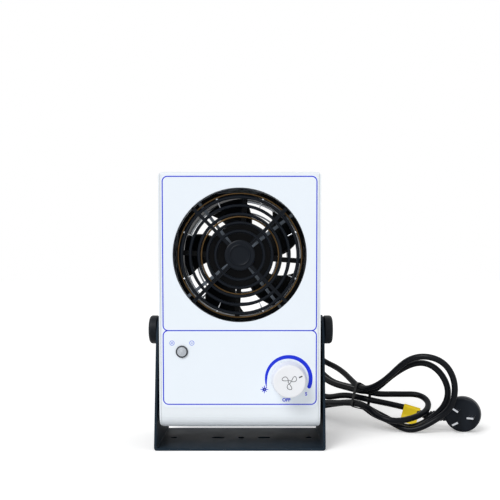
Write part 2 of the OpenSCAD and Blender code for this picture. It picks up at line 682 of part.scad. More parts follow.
// Bushing in the back wall with a tapered strain relief
module cord_gland() color([0.05, 0.05, 0.05]) difference() {
    turned_y(gland_x, back_y, gland_z) polygon([
        [0, 6], [8, 6], [8, sheet_t], [6, sheet_t], [6, 0], [8.5, 0], [8.5, -1.6], [7.6, -2.6], [5.8, -3],
        [5.6, -8], [5, -8.4], [5, -10.6], [5.3, -11], [5.1, -14], [4.6, -14.4], [4.6, -16.6],
        [4.9, -17], [4.7, -20], [4.2, -21], [0, -21]
    ]);
    rod_y(gland_x, gland_z, back_y - 10, back_y + 30, cord_r + running_gap);
}

// Thin tie round the middle of the hank
module cord_tie() color([0.06, 0.06, 0.06]) translate([124.8, 64.5, 31]) rotate([0, 0, -53]) difference() {
    along_x(-2, 2) polygon(rounded(rounded_box(-13.8, -16.1, 13.8, 16.1, 7)));
    along_x(-3, 3) polygon(rounded(rounded_box(-12.6, -14.9, 12.6, 14.9, 6)));
}

// Plain card label folded over the cord, both flaps hanging down together
module cord_tag() {
    t = 0.5;
    hang = 15.5;
    over = cord_r + 0.3;
    color([0.98, 0.86, 0.05]) translate([178.3, 64.8, 17]) rotate([-26, 0, 0]) rotate([0, 20, -7.5])
        difference() {
            along_x(-8.5, 8.5) polygon(concat(
                [for (k = [0:10]) polar(over + t, 18 * k)],
                [[-t, -over - 4], [-t, -hang], [t, -hang], [t, -over - 4]]
            ));
            along_x(-9, 9) polygon(concat([for (k = [0:10]) polar(over, 18 * k)], [[0, -over - 3]]));
        }
}

module on_plug() translate([plug_x, plug_y, plug_d / 2]) rotate([0, 0, plug_turn]) children();

// Round moulded body that stands on its rim, with the cord's neck at its side
module plug_body() color([0.06, 0.06, 0.06]) on_plug() difference() {
    r = plug_d / 2;
    union() {
        turned_y(0, plug_t, 0) polygon([
            [0, 0], [r - 6, 0], [r - 2.4, 1.6], [r - 0.6, 4.4], [r, 7.4], [r, plug_t - 1.8],
            [r - 0.6, plug_t - 0.6], [r - 2, plug_t], [0, plug_t]
        ]);
        translate([0, neck_depth, 0]) rotate([0, -90 - neck_fall, 0]) {
            cylinder(r = 6, h = r + 3);
            translate([0, 0, r + 3]) cylinder(r1 = 5.2, r2 = 4, h = neck_reach - r - 3);
        }
    }
    for (p = plug_blades) translate([p[0], 0, p[1]]) rotate([0, p[2], 0])
        translate([-3.2, -1, -0.9]) cube([6.4, 7, 1.8]);
}

module plug_pins() color([0.85, 0.85, 0.87]) on_plug() for (p = plug_blades)
    translate([p[0], 6, p[1]]) rotate([90, p[2], 0]) {
        translate([-3.2, -0.9, 0]) cube([6.4, 1.8, 22.2]);
        translate([-2.7, -0.6, 22.2]) cube([5.4, 1.2, 0.8]);
    }

stand_bracket();
pivot_washer_left();
pivot_washer_right();
front_cover();
rear_cover();
front_overlay();
threaded_inserts();
cover_screws();
front_guard();
guard_nuts();
ionizer_frame();
outer_electrode();
inner_electrode();
emitter_needles();
fan_frame();
fan_stator();
fan_bearings();
fan_screws();
fan_nuts();
rear_guard();
fan_rotor();
rotor_shaft();
high_voltage_module();
control_board();
board_standoffs();
board_transformer();
board_capacitors();
terminal_block();
earth_stud();
speed_control();
control_nut();
control_shaft();
speed_knob();
lamp_bezel();
lamp_lens();
lamp_nut();
clamp_knob_left();
clamp_stud_left();
clamp_knob_right();
clamp_stud_right();
cord_gland();
cord_lead();
cord();
cord_tie();
cord_tag();
plug_body();
plug_pins();
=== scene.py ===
"""A desktop ionizing blower on its tilting stand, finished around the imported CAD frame.

Everything is in metres. +Z is up, the front faces -Y and +X is to the right seen
from the front. The origin is under the stand's centre hole.
"""

import logging
import math
from collections.abc import Callable, Sequence
from dataclasses import dataclass
from enum import Enum
from functools import lru_cache

import bpy
from mathutils import Matrix, Vector


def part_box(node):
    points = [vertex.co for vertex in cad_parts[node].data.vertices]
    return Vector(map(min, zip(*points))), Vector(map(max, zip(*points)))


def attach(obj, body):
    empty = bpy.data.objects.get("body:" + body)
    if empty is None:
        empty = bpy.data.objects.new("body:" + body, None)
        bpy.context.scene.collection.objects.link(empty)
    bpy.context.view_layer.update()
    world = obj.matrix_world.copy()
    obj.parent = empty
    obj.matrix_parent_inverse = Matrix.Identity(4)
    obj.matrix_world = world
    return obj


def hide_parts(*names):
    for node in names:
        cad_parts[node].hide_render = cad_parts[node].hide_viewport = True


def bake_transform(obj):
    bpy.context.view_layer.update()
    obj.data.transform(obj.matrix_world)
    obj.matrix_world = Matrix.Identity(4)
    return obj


MM = 0.001
# Points closer than this are the same place
SAME_PLACE = 1e-7
# How close a ribbon's points are merged
MERGE = 1e-6
# Edges flatter than this are shaded smooth
SMOOTH_ANGLE = math.radians(40)
# Steps of one round corner of a printed frame
CORNER_STEPS = 8
# How much the strokes of letters are thickened, as a share of their size
LETTER_WEIGHT = 0.035

Point = tuple[float, float, float]
Colour = tuple[float, float, float]
Flat = tuple[float, float]

logging.basicConfig(level=logging.INFO, format="%(name)s: %(message)s")
log = logging.getLogger("blower")

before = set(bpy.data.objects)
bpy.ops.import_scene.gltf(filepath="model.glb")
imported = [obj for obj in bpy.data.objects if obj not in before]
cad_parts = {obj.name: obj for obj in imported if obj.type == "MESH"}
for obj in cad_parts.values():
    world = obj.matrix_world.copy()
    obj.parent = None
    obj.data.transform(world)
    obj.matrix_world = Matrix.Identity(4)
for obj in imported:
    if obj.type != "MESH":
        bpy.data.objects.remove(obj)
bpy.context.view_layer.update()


# ---- Shader graphs ----


class Signal:
    """A shader socket that takes part in arithmetic."""

    def __init__(self, graph: "Graph", socket: bpy.types.NodeSocket) -> None:
        """Wrap a socket of a graph.

        Args:
            graph: The graph that the socket belongs to.
            socket: An output socket.
        """
        self.graph = graph
        self.socket = socket

    def _join(self, operation: str, first: object, second: object) -> "Signal":
        """Add one Math node.

        Args:
            operation: The Math node's operation.
            first: A Signal or a number.
            second: A Signal or a number.

        Returns:
            The node's result.
        """
        made = self.graph.node("ShaderNodeMath", {"operation": operation}, {0: first, 1: second})
        return Signal(self.graph, made.outputs[0])

    def __add__(self, other: object) -> "Signal":
        """Return self + other."""
        return self._join("ADD", self, other)

    def __radd__(self, other: object) -> "Signal":
        """Return other + self."""
        return self._join("ADD", other, self)

    def __mul__(self, other: object) -> "Signal":
        """Return self * other."""
        return self._join("MULTIPLY", self, other)

    def __rmul__(self, other: object) -> "Signal":
        """Return other * self."""
        return self._join("MULTIPLY", other, self)

    def larger(self, other: object) -> "Signal":
        """Return the larger of self and other."""
        return self._join("MAXIMUM", self, other)


class Graph:
    """The node tree of a material or a world."""

    def __init__(self, tree: bpy.types.NodeTree) -> None:
        """Empty a tree so that it can be filled.

        Args:
            tree: The node tree.
        """
        self.tree = tree
        tree.nodes.clear()

    def node(self, kind: str, settings: dict | None = None, sockets: dict | None = None) -> bpy.types.Node:
        """Add any node.

        Args:
            kind: The node's type.
            settings: Its properties; "stops" are a ramp's (position, grey) pairs.
            sockets: The values or links of its input sockets.

        Returns:
            The node.
        """
        made = self.tree.nodes.new(kind)
        for name, value in (settings or {}).items():
            if name == "stops":
                ramp = made.color_ramp
                while len(ramp.elements) < len(value):
                    ramp.elements.new(0.5)
                for element, (place, grey) in zip(ramp.elements, value):
                    element.position = place
                    element.color = (grey, grey, grey, 1)
            else:
                setattr(made, name, value)
        for name, value in (sockets or {}).items():
            if isinstance(value, Signal):
                self.tree.links.new(value.socket, made.inputs[name])
            else:
                made.inputs[name].default_value = value
        return made

    def signal(
        self, kind: str, output: str | int, settings: dict | None = None, sockets: dict | None = None
    ) -> Signal:
        """Add any node and return one of its outputs.

        Args:
            kind: The node's type.
            output: The output socket.
            settings: Its properties.
            sockets: Its inputs.

        Returns:
            The output as a Signal.
        """
        return Signal(self, self.node(kind, settings, sockets).outputs[output])

    def place(self, stretch: Point = (1, 1, 1)) -> Signal:
        """Return the piece's own coordinates, stretched.

        Args:
            stretch: The scale along each axis.

        Returns:
            A vector Signal.
        """
        own = self.signal("ShaderNodeTexCoord", "Object")
        return self.signal("ShaderNodeMapping", "Vector", None, {"Vector": own, "Scale": stretch})

    def noise(self, scale: float, detail: float = 3, stretch: Point = (1, 1, 1)) -> Signal:
        """Return a noise from 0 to 1.

        Args:
            scale: Waves per metre.
            detail: Octaves.
            stretch: The scale along each axis.

        Returns:
            The noise's height.
        """
        sockets = {"Vector": self.place(stretch), "Scale": scale, "Detail": detail}
        return self.signal("ShaderNodeTexNoise", "Fac", None, sockets)

    def ramp(self, height: Signal, stops: Sequence[Flat]) -> Signal:
        """Return a height passed through a grey ramp.

        Args:
            height: What goes in.
            stops: (position, grey) pairs.

        Returns:
            What comes out.
        """
        return self.signal("ShaderNodeValToRGB", "Color", {"stops": stops}, {"Fac": height})

    def mix(self, share: Signal, low: Colour, high: Colour) -> Signal:
        """Return a colour between two.

        Args:
            share: 0 for low, 1 for high.
            low: A linear colour.
            high: A linear colour.

        Returns:
            A colour Signal.
        """
        made = self.node("ShaderNodeMix", {"data_type": "RGBA"})
        self.tree.links.new(share.socket, made.inputs["Factor"])
        made.inputs[6].default_value = (*low, 1)
        made.inputs[7].default_value = (*high, 1)
        return Signal(self, made.outputs[2])

    def bump(self, height: Signal, depth: float) -> Signal:
        """Return a normal for a relief.

        Args:
            height: The relief from 0 to 1.
            depth: Its height in metres.

        Returns:
            A normal Signal.
        """
        sockets = {"Height": height, "Distance": depth, "Strength": 1.0}
        return self.signal("ShaderNodeBump", "Normal", None, sockets)


def linear(red: int, green: int, blue: int) -> Colour:
    """Return a linear colour for 8-bit display values.

    Args:
        red: From 0 to 255.
        green: From 0 to 255.
        blue: From 0 to 255.

    Returns:
        The linear colour.
    """

    def one(value: int) -> float:
        """Return one channel."""
        share = value / 255
        return share / 12.92 if share <= 0.04045 else ((share + 0.055) / 1.055) ** 2.4

    return one(red), one(green), one(blue)


class Grain(Enum):
    """The fine relief of a surface."""

    ORANGE_PEEL = "the soft dimples of sprayed or powder coat"
    SPARK = "the fine pits of a spark-eroded mould"
    DRAWN = "fine lines along the metal's run"
    WOUND = "turns of wire"
    FIBRE = "the fibres of card"
    CLEAR = "a polished clear surface"
    LACQUER = "smooth lacquer with a few specks of dust"


@dataclass(frozen=True)
class Finish:
    """One finish of the blower.

    The colour varies by a share of mottle, in patches whose size follows from
    patches, the number of them per metre. relief is the depth of the grain.
    """

    name: str
    colour: Colour
    grain: Grain
    roughness: float
    metallic: float = 0.0
    specular: float = 0.5
    coat: float = 0.0
    mottle: float = 0.06
    patches: float = 40.0
    relief: float = 0.00002

    def _height(self, graph: Graph) -> Signal:
        """Return the relief of the grain, from 0 to 1.

        Args:
            graph: Where its nodes go.

        Returns:
            The relief.
        """
        if self.grain is Grain.SPARK:
            sockets = {"Vector": graph.place(), "Scale": 1800.0, "Randomness": 1.0}
            pits = graph.signal("ShaderNodeTexVoronoi", "Distance", None, sockets)
            return pits * 0.7 + graph.noise(900, 2) * 0.3
        if self.grain is Grain.DRAWN:
            return graph.noise(260, 4, (12, 12, 1)) * 0.6 + graph.noise(1500, 2) * 0.4
        if self.grain is Grain.WOUND:
            return graph.signal(
                "ShaderNodeTexWave",
                "Fac",
                {"wave_type": "BANDS", "bands_direction": "Y"},
                {"Vector": graph.place(), "Scale": 320.0, "Distortion": 0.6, "Detail": 1.0},
            )
        if self.grain is Grain.FIBRE:
            return graph.noise(700, 5, (1, 4, 2)) * 0.5 + graph.noise(2600, 3, (3, 1, 1)) * 0.5
        if self.grain is Grain.ORANGE_PEEL:
            return graph.noise(850, 2) * 0.75 + graph.noise(3200, 1) * 0.25
        if self.grain is Grain.LACQUER:
            specks = graph.ramp(graph.noise(1100, 4), [(0.0, 0), (0.66, 0), (0.74, 1)])
            return specks * 0.5 + graph.noise(300, 2) * 0.5
        return graph.noise(120, 1)

    def build(self) -> bpy.types.Material:
        """Make the material.

        Returns:
            The material.
        """
        material = bpy.data.materials.new(self.name)
        material.use_nodes = True
        graph = Graph(material.node_tree)
        patch = graph.ramp(graph.noise(self.patches, 4), [(0.32, 0), (0.68, 1)])
        height = self._height(graph)
        low = tuple(c * (1 - self.mottle) for c in self.colour)
        high = tuple(min(1.0, c * (1 + self.mottle)) for c in self.colour)
        rough = self.roughness
        shader = graph.node(
            "ShaderNodeBsdfPrincipled",
            None,
            {
                "Base Color": graph.mix(patch * 0.6 + height * 0.4, low, high),
                "Roughness": patch * (0.16 * rough) + height * (0.1 * rough) + 0.87 * rough,
                "Metallic": self.metallic,
                "Specular IOR Level": self.specular,
                "Coat Weight": self.coat,
                "Coat Roughness": 0.12,
                "Normal": graph.bump(height, self.relief),
            },
        )
        graph.node("ShaderNodeOutputMaterial", None, {"Surface": Signal(graph, shader.outputs[0])})
        return material


@lru_cache(maxsize=None)
def material_of(finish: Finish) -> bpy.types.Material:
    """Return the one material of a finish."""
    return finish.build()


STAND_PAINT = Finish(
    "stand_paint", linear(30, 42, 53), Grain.ORANGE_PEEL, 0.56, specular=0.07, relief=0.00003
)
WASHER_RUBBER = Finish("washer_rubber", linear(20, 22, 25), Grain.SPARK, 0.75, specular=0.25)
CASING_PAINT = Finish(
    "casing_paint", linear(232, 238, 243), Grain.ORANGE_PEEL, 0.38, mottle=0.012, patches=14, relief=0.000025
)
PANEL_FILM = Finish(
    "panel_film", linear(236, 244, 252), Grain.SPARK, 0.34, mottle=0.006, patches=24, relief=0.000004
)
PRINT_BLUE = Finish(
    "print_blue", linear(10, 46, 216), Grain.LACQUER, 0.4, specular=0.3, mottle=0.05, relief=0.000004
)
PRINT_PALE_BLUE = Finish(
    "print_pale_blue", linear(70, 104, 226), Grain.LACQUER, 0.35, mottle=0.05, relief=0.000004
)
PRINT_GREY = Finish("print_grey", linear(34, 37, 43), Grain.LACQUER, 0.4, mottle=0.06, relief=0.000004)
ZINC = Finish("zinc_plate", linear(200, 202, 205), Grain.DRAWN, 0.3, metallic=1.0, mottle=0.08)
GUARD_BLACK = Finish("guard_black", linear(11, 17, 25), Grain.SPARK, 0.32, specular=0.14, relief=0.00001)
BAR_GREY = Finish("bar_grey", linear(104, 114, 126), Grain.SPARK, 0.5, relief=0.000012)
BRASS = Finish("brass_wire", linear(128, 102, 68), Grain.DRAWN, 0.36, metallic=1.0, mottle=0.2)
NEEDLE_STEEL = Finish("needle_steel", linear(196, 199, 204), Grain.DRAWN, 0.22, metallic=1.0)
FAN_BLACK = Finish("fan_black", linear(8, 11, 16), Grain.SPARK, 0.4, specular=0.16, relief=0.00001)
WINDING = Finish("copper_winding", linear(176, 96, 52), Grain.WOUND, 0.35, metallic=0.85, relief=0.00015)
CHROME = Finish("chrome_wire", linear(214, 217, 222), Grain.DRAWN, 0.16, metallic=1.0, relief=0.000006)
POTTING = Finish("potting_black", linear(26, 26, 28), Grain.LACQUER, 0.28)
BOARD = Finish("board_green", linear(22, 92, 56), Grain.LACQUER, 0.3, mottle=0.12, patches=300)
LAMINATION = Finish("transformer_steel", linear(96, 92, 78), Grain.DRAWN, 0.5, metallic=0.6, mottle=0.15)
SLEEVE = Finish("capacitor_sleeve", linear(36, 42, 74), Grain.LACQUER, 0.32)
MOULDED_WHITE = Finish(
    "moulded_white", linear(236, 238, 242), Grain.SPARK, 0.36, mottle=0.012, patches=60, relief=0.000008
)
BEZEL = Finish("bezel_plastic", linear(52, 56, 62), Grain.SPARK, 0.4, relief=0.000008)
LENS = Finish(
    "lamp_lens", linear(186, 192, 199), Grain.CLEAR, 0.14, coat=0.6, mottle=0.12, patches=700, relief=0.00004
)
CLAMP_BLACK = Finish("clamp_black", linear(16, 22, 29), Grain.SPARK, 0.46, specular=0.16, relief=0.00002)
SHEATH = Finish("cord_sheath", linear(11, 14, 19), Grain.ORANGE_PEEL, 0.3, specular=0.13, relief=0.00002)
TIE_BLACK = Finish("tie_black", linear(14, 15, 18), Grain.DRAWN, 0.42, specular=0.35)
TAG_CARD = Finish("tag_card", linear(250, 218, 8), Grain.FIBRE, 0.6, mottle=0.05, relief=0.00003)
PLUG_BLACK = Finish("plug_black", linear(16, 22, 30), Grain.SPARK, 0.42, specular=0.16, relief=0.00002)


# ---- Mesh tools ----


def clear_selection() -> None:
    """Leave edit mode and select nothing."""
    if bpy.context.object and bpy.context.object.mode != "OBJECT":
        bpy.ops.object.mode_set(mode="OBJECT")
    bpy.ops.object.select_all(action="DESELECT")


def settle(
    piece: bpy.types.Object, name: str, finish: Finish, body: str | None
) -> bpy.types.Object:
    """Put a piece's place in its mesh, then name it, dress it and let it ride.

    Args:
        piece: A mesh object that stands where it belongs.
        name: Its name.
        finish: Its finish.
        body: The body it rides on, or None to leave it unattached.

    Returns:
        The piece.
    """
    clear_selection()
    piece.select_set(True)
    bpy.context.view_layer.objects.active = piece
    bpy.ops.object.transform_apply(location=True, rotation=True, scale=True)
    piece.name = name
    piece.data.name = name
    piece.data.materials.clear()
    piece.data.materials.append(material_of(finish))
    if body is not None:
        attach(piece, body)
    log.info("%s: %d faces", name, len(piece.data.polygons))
    return piece


def dress(finish: Finish, *names: str) -> None:
    """Give CAD nodes a finish.

    Args:
        finish: The finish.
        names: The nodes.
    """
    for name in names:
        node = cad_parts[name]
        if not node.material_slots:
            node.data.materials.append(None)
        for holder in node.material_slots:
            holder.material = material_of(finish)
        log.info("%s: %s", name, finish.name)


def join(pieces: Sequence[bpy.types.Object]) -> bpy.types.Object:
    """Join pieces into the first of them.

    Args:
        pieces: Mesh objects.

    Returns:
        The first, with all the meshes.
    """
    clear_selection()
    for piece in pieces:
        piece.select_set(True)
    bpy.context.view_layer.objects.active = pieces[0]
    if len(pieces) > 1:
        bpy.ops.object.join()
    return pieces[0]


def ribbon(
    line: Sequence[Flat], width: Callable[[float], float], thickness: float
) -> bpy.types.Object:
    """Make a flat printed line, which lies in the XY plane and rises along Z.

    Args:
        line: The points along its middle. It is closed where the last is the first.
        width: Its width at a share from 0 to 1 of its length.
        thickness: How far it stands up.

    Returns:
        The mesh object.
    """
    count = len(line) - 1
    closed = math.dist(line[0], line[-1]) < SAME_PLACE
    clear_selection()
    bpy.ops.mesh.primitive_grid_add(x_subdivisions=count, y_subdivisions=1, size=1)
    piece = bpy.context.object
    for vertex in piece.data.vertices:
        k = round((vertex.co.x + 0.5) * count)
        before = line[k - 1] if k > 0 else (line[-2] if closed else line[0])
        after = line[k + 1] if k < count else (line[1] if closed else line[-1])
        run = Vector((after[0] - before[0], after[1] - before[1])).normalized()
        side = math.copysign(width(k / count) / 2, vertex.co.y)
        vertex.co = (line[k][0] - run.y * side, line[k][1] + run.x * side, 0)
    bpy.ops.object.mode_set(mode="EDIT")
    bpy.ops.mesh.select_all(action="SELECT")
    bpy.ops.mesh.remove_doubles(threshold=MERGE)
    bpy.ops.mesh.extrude_region_move(TRANSFORM_OT_translate={"value": (0, 0, thickness)})
    bpy.ops.mesh.select_all(action="SELECT")
    bpy.ops.mesh.normals_make_consistent(inside=False)
    bpy.ops.object.mode_set(mode="OBJECT")
    return piece


def even(width: float) -> Callable[[float], float]:
    """Return the width of a line that is equally wide all along."""
    return lambda share: width


def arc_points(centre: Flat, radius: float, start: float, end: float, count: int) -> list[Flat]:
    """Return points along an arc.

    Args:
        centre: Its centre.
        radius: Its radius.
        start: Its first angle in degrees.
        end: Its last angle in degrees.
        count: The number of steps.

    Returns:
        count + 1 points.
    """
    angles = [math.radians(start + (end - start) * k / count) for k in range(count + 1)]
    return [(centre[0] + radius * math.cos(a), centre[1] + radius * math.sin(a)) for a in angles]


def rounded_outline(x0: float, y0: float, x1: float, y1: float, radius: float) -> list[Flat]:
    """Return a closed outline of a rectangle with round corners.

    It starts at the right end of the bottom side.

    Args:
        x0: Its left side.
        y0: Its bottom.
        x1: Its right side.
        y1: Its top.
        radius: The radius of its corners.

    Returns:
        The points, counter-clockwise, the last the same as the first.
    """
    corners = [
        ((x1 - radius, y0 + radius), -90),
        ((x1 - radius, y1 - radius), 0),
        ((x0 + radius, y1 - radius), 90),
        ((x0 + radius, y0 + radius), 180),
    ]
    points = []
    for centre, start in corners:
        points += arc_points(centre, radius, start, start + 90, CORNER_STEPS)
    return [*points, points[0]]


def face_front(piece: bpy.types.Object, x: float, y: float, z: float) -> bpy.types.Object:
    """Turn a flat print towards the front and put its origin at a place.

    Args:
        piece: A print that rises along Z.
        x: Where its origin goes.
        y: The surface that it lies on.
        z: Where its origin goes.

    Returns:
        The piece.
    """
    piece.matrix_world = Matrix.Translation((x, y, z)) @ Matrix.Rotation(math.radians(90), 4, "X")
    return piece


def lettering(words: str, size: float, thickness: float) -> bpy.types.Object:
    """Make plain letters or numbers as a mesh, centred on the origin.

    Args:
        words: What they say.
        size: Their size.
        thickness: How far they stand up.

    Returns:
        The mesh object.
    """
    clear_selection()
    bpy.ops.object.text_add()
    letters = bpy.context.object
    letters.data.body = words
    letters.data.size = size
    letters.data.extrude = thickness / 2
    letters.data.offset = LETTER_WEIGHT * size
    letters.data.align_x = "CENTER"
    letters.data.align_y = "CENTER"
    letters.data.resolution_u = 4
    bpy.ops.object.convert(target="MESH")
    made = bpy.context.object
    bpy.ops.object.mode_set(mode="EDIT")
    bpy.ops.mesh.select_all(action="SELECT")
    bpy.ops.mesh.remove_doubles(threshold=SAME_PLACE)
    bpy.ops.transform.translate(value=(0, 0, thickness / 2))
    bpy.ops.object.mode_set(mode="OBJECT")
    return made


def film_face() -> float:
    """Return the place along Y of the front film's surface."""
    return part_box("front_overlay")[0].y


# ---- Sub-assemblies ----


@dataclass
class Stand:
    """The U bracket with its washers and clamp screws."""

    sides: tuple[str, str] = ("left", "right")

    def finish(self) -> None:
        """Dress the bracket and everything on the tilt axis."""
        dress(STAND_PAINT, "stand_bracket")
        dress(ZINC, "threaded_inserts", *(f"clamp_stud_{side}" for side in self.sides))
        dress(WASHER_RUBBER, *(f"pivot_washer_{side}" for side in self.sides))
        dress(CLAMP_BLACK, *(f"clamp_knob_{side}" for side in self.sides))


@dataclass
class Casing:
    """The folded sheet casing and its printed front film."""

    frame_half: float = 68.75 * MM
    frame_bottom: float = 41.9 * MM
    frame_middle: float = 108.5 * MM
    frame_top: float = 245.8 * MM
    line: float = 0.95 * MM
    corner: float = 4.5 * MM
    ink: float = 0.05 * MM
    mark_half: float = 2.0 * MM
    mark_steps: int = 28
    ring_line: float = 0.45 * MM
    bar_line: float = 0.5 * MM
    mark_z: float = 97.3 * MM
    plus_x: float = -60.9 * MM
    minus_x: float = -43.1 * MM

    def finish(self) -> None:
        """Dress the sheets, film and screws."""
        dress(CASING_PAINT, "front_cover", "rear_cover")
        dress(PANEL_FILM, "front_overlay")
        dress(ZINC, "cover_screws")

    def print_frames(self) -> None:
        """Print the two line frames, which share their middle line."""
        half = self.frame_half
        upper = rounded_outline(-half, self.frame_middle, half, self.frame_top, self.corner)
        lower = rounded_outline(-half, self.frame_bottom, half, self.frame_middle, self.corner)
        # The lower frame is open at its top. It runs from its upper left corner round to
        # its upper right one, without the end of either corner's arc.
        top_left = 2 * (CORNER_STEPS + 1)
        lower = [*lower[top_left + 1 : -1], *lower[: top_left - 1]]
        lines = [ribbon(line, even(self.line), self.ink) for line in (upper, lower)]
        piece = face_front(join(lines), 0, film_face(), 0)
        settle(piece, "panel_lines", PRINT_BLUE, "head")

    def print_marks(self) -> None:
        """Print the plus and minus marks over the lamp, each in a ring."""
        parts = []
        z, bar = self.mark_z, self.mark_half * 0.5
        for x, upright in ((self.plus_x, True), (self.minus_x, False)):
            ring = arc_points((x, z), self.mark_half, 0, 360, self.mark_steps)
            parts.append(ribbon(ring, even(self.ring_line), self.ink))
            parts.append(ribbon([(x - bar, z), (x + bar, z)], even(self.bar_line), self.ink))
            if upright:
                # Two short strokes, which leave the middle to the bar
                for side in (-1, 1):
                    ends = [(x, z + side * self.bar_line / 2), (x, z + side * bar)]
                    parts.append(ribbon(ends, even(self.bar_line), self.ink))
        piece = face_front(join(parts), 0, film_face(), 0)
        settle(piece, "polarity_marks", PRINT_PALE_BLUE, "head")


@dataclass
class FanUnit:
    """The axial fan, its finger guards and its fixings."""

    def finish(self) -> None:
        """Dress every part of the fan."""
        dress(GUARD_BLACK, "front_guard")
        dress(FAN_BLACK, "fan_frame", "fan_rotor")
        dress(WINDING, "fan_stator")
        dress(CHROME, "rear_guard")
        dress(NEEDLE_STEEL, "rotor_shaft")
        dress(ZINC, "fan_bearings", "fan_screws", "fan_nuts", "guard_nuts")


@dataclass
class Ionizer:
    """The support bars, the two electrode rings and the needles."""

    def finish(self) -> None:
        """Dress the ionizer."""
        dress(BAR_GREY, "ionizer_frame")
        dress(BRASS, "outer_electrode", "inner_electrode")
        dress(NEEDLE_STEEL, "emitter_needles")


@dataclass
class Electronics:
    """What stands in the lower compartment."""

    def finish(self) -> None:
        """Dress the board and what is on it."""
        dress(POTTING, "high_voltage_module")
        dress(BOARD, "control_board")
        dress(ZINC, "board_standoffs", "control_nut", "control_shaft", "speed_control")
        dress(LAMINATION, "board_transformer")
        dress(SLEEVE, "board_capacitors")
        dress(MOULDED_WHITE, "terminal_block")
        dress(BRASS, "earth_stud")


